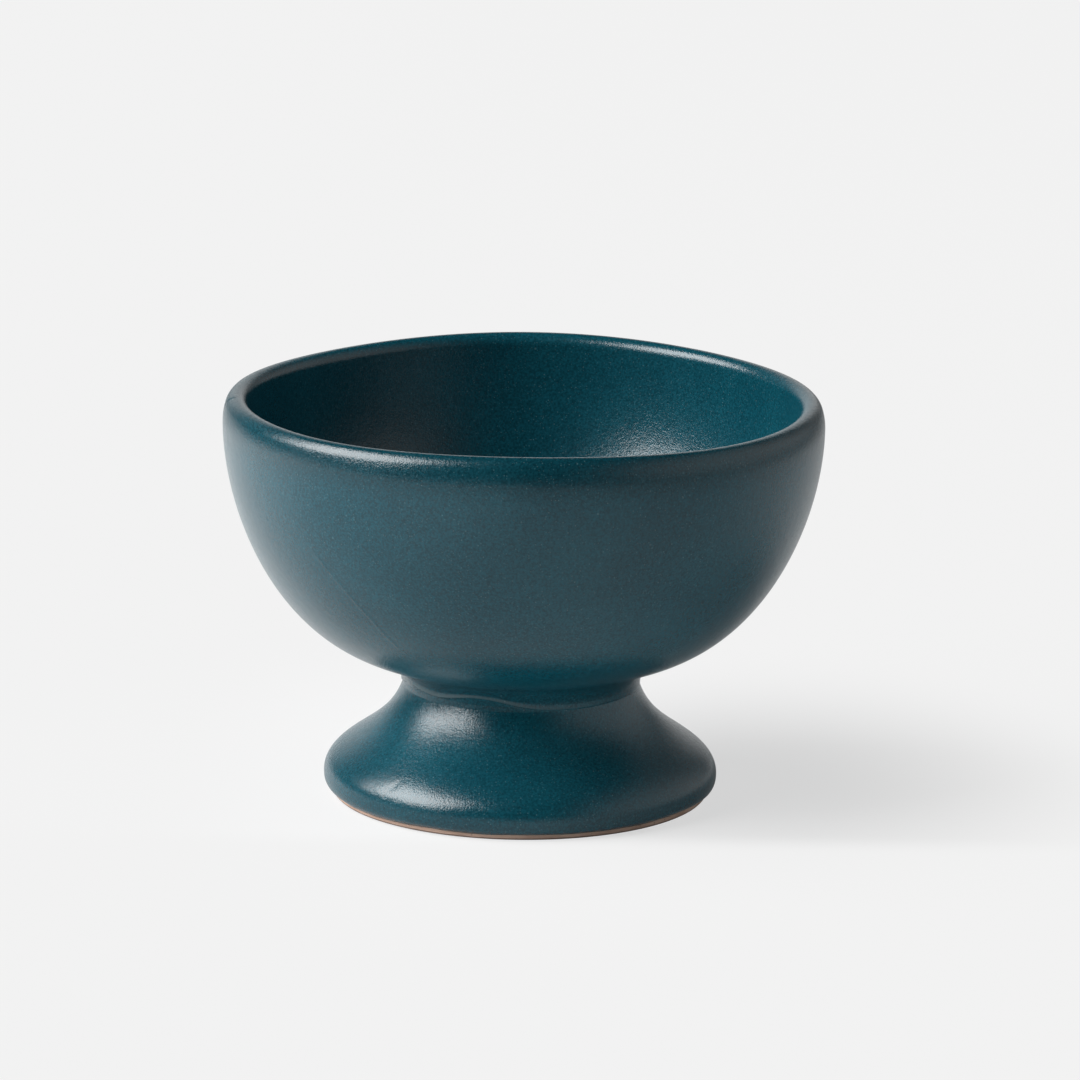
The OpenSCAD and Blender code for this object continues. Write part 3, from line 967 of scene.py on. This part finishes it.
# %% Make a glaze
def glaze(name, tone=1.0, painted_shade_setting=None, broken_and_highlit=False):
    """A satin glaze; a shade setting adds painted shade, and the crest flag paints the bead's crest
    pale: thin glaze and a painted highlight.
    """
    made, tree, spot = start_material(name)
    mottle = place(tree, kiln_clouds, Place=spot, Per_metre=MOTTLE)
    cloud = place(tree, kiln_clouds, Place=spot, Per_metre=CLOUDS)
    body = place(tree, glaze_body, Cloud=cloud, Mottle=mottle, Tone=tone)
    # Painted shade: the base colour is darkened towards black by the group's share.
    if painted_shade_setting:
        body = blend_colours(tree, place(tree, painted_shade_band, Place=spot, **painted_shade_setting), body, PAINTED_SHADE_COLOUR)
    # Painted pale on the bead's crest: partly thin glaze, partly a painted highlight.
    if broken_and_highlit:
        crest = put(tree, "ShaderNodeAttribute", attribute_name="crest").outputs["Fac"]
        body = blend_colours(tree, crest, body, CREST_THIN_AND_HIGHLIT)
    specks = math_of(tree, "MAXIMUM", place(tree, kiln_specks, Place=spot, **CRYSTALS),
                     place(tree, kiln_specks, Place=spot, **FLECKS))
    shader = put(tree, "ShaderNodeBsdfPrincipled", {
        "Base Color": blend_colours(tree, times(tree, specks, SPECK_COVER), body, PALE),
        "Roughness": fade(tree, mottle, 0, 1, *SATIN),
        "Normal": grains(tree, spot, PEBBLES, GRAIN_MM), "IOR": GLOSS_IOR})
    put(tree, "ShaderNodeOutputMaterial", {"Surface": shader.outputs[0]})
    return made


# The bowl and the foot get painted shade, the hollow and the slip none.
bowl_satin = glaze("satin_glaze_bowl", BOWL_TONE, LIP_PAINTED_SHADE)
foot_satin = glaze("satin_glaze_foot", painted_shade_setting=TOE_PAINTED_SHADE)
well_satin = glaze("satin_glaze_hollow")
bead_satin = glaze("thin_glaze_on_slip", broken_and_highlit=True)
print("glazes:", bowl_satin.name, foot_satin.name, well_satin.name, bead_satin.name)

# %% [markdown]
# ## The bare clay
# Fired stoneware is a dull warm brown with dark grit in it. It is dry, so it has almost no shine, and
# the wiping left it slightly rough. The lowest half millimetre is darkened as painted shade, where the
# ring meets the table.

# %% Make the clay
CLAY = (0.67, 0.475, 0.375, 1)
CLAY_DARK = (0.53, 0.36, 0.28, 1)
GRIT_AND_SHADE_COLOUR = (0.07, 0.045, 0.035, 1)
GRIT = dict(Per_metre=900.0, Size=0.35, Share=0.25)
GRIT_COVER = 0.6
CONTACT_SHADE_LOW, CONTACT_SHADE_HIGH, CONTACT_SHADE_COVER = 0.0002, 0.0006, 0.8
CLAY_PEBBLES, CLAY_GRAIN_MM = 2200.0, 0.08
DRY = (0.9, 0.75)
FOOT_CLOUDS, BOWL_CLOUDS = 120.0, 60.0


def bare_clay(name, clouds):
    """Bare fired clay with grit, and painted shade along the edge that it stands on."""
    made, tree, spot = start_material(name)
    cloud = place(tree, kiln_clouds, Place=spot, Per_metre=clouds)
    grit = place(tree, kiln_specks, Place=spot, **GRIT)
    height = put(tree, "ShaderNodeSeparateXYZ", {0: spot}).outputs["Z"]
    # Painted shade: the lowest half millimetre is darkened where the ring meets the table.
    contact_shade = fade(tree, height, CONTACT_SHADE_LOW, CONTACT_SHADE_HIGH, CONTACT_SHADE_COVER, 0)
    grit_and_shade = math_of(tree, "MAXIMUM", times(tree, grit, GRIT_COVER), contact_shade)
    shader = put(tree, "ShaderNodeBsdfPrincipled", {
        "Base Color": blend_colours(
            tree, grit_and_shade, blend_colours(tree, cloud, CLAY_DARK, CLAY), GRIT_AND_SHADE_COLOUR),
        "Roughness": fade(tree, grit, 0, 1, *DRY),
        "Normal": grains(tree, spot, CLAY_PEBBLES, CLAY_GRAIN_MM)})
    put(tree, "ShaderNodeOutputMaterial", {"Surface": shader.outputs[0]})
    return made


foot_bare = bare_clay("bare_clay_foot", FOOT_CLOUDS)
bowl_bare = bare_clay("bare_clay_bowl", BOWL_CLOUDS)
print("clays:", foot_bare.name, bowl_bare.name)

# %% [markdown]
# ## Putting it together
# The list gives for each turned piece the solid it stands for, that solid's slot and the material it
# takes. Each piece rides on the object's one body, and its solid is hidden.

DRESSED = (
    (bowl_glaze, "bowl_glaze", "glaze", bowl_satin),
    (foot_glaze, "foot_glaze", "glaze", foot_satin),
    (well_glaze, "well_glaze", "glaze", well_satin),
    (slip_joint, "slip_joint", "slip", bead_satin),
    (pedestal, "pedestal_foot", "clay", foot_bare),
    (bowl_clay, "bowl", "clay", bowl_bare),
)
for piece, node, slot_name, material in DRESSED:
    piece.data.materials.clear()
    piece.data.materials.append(material)
    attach(piece, "root")
    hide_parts(node)
print(len(DRESSED), "pieces stand for", len(frame["nodes"]), "solids")
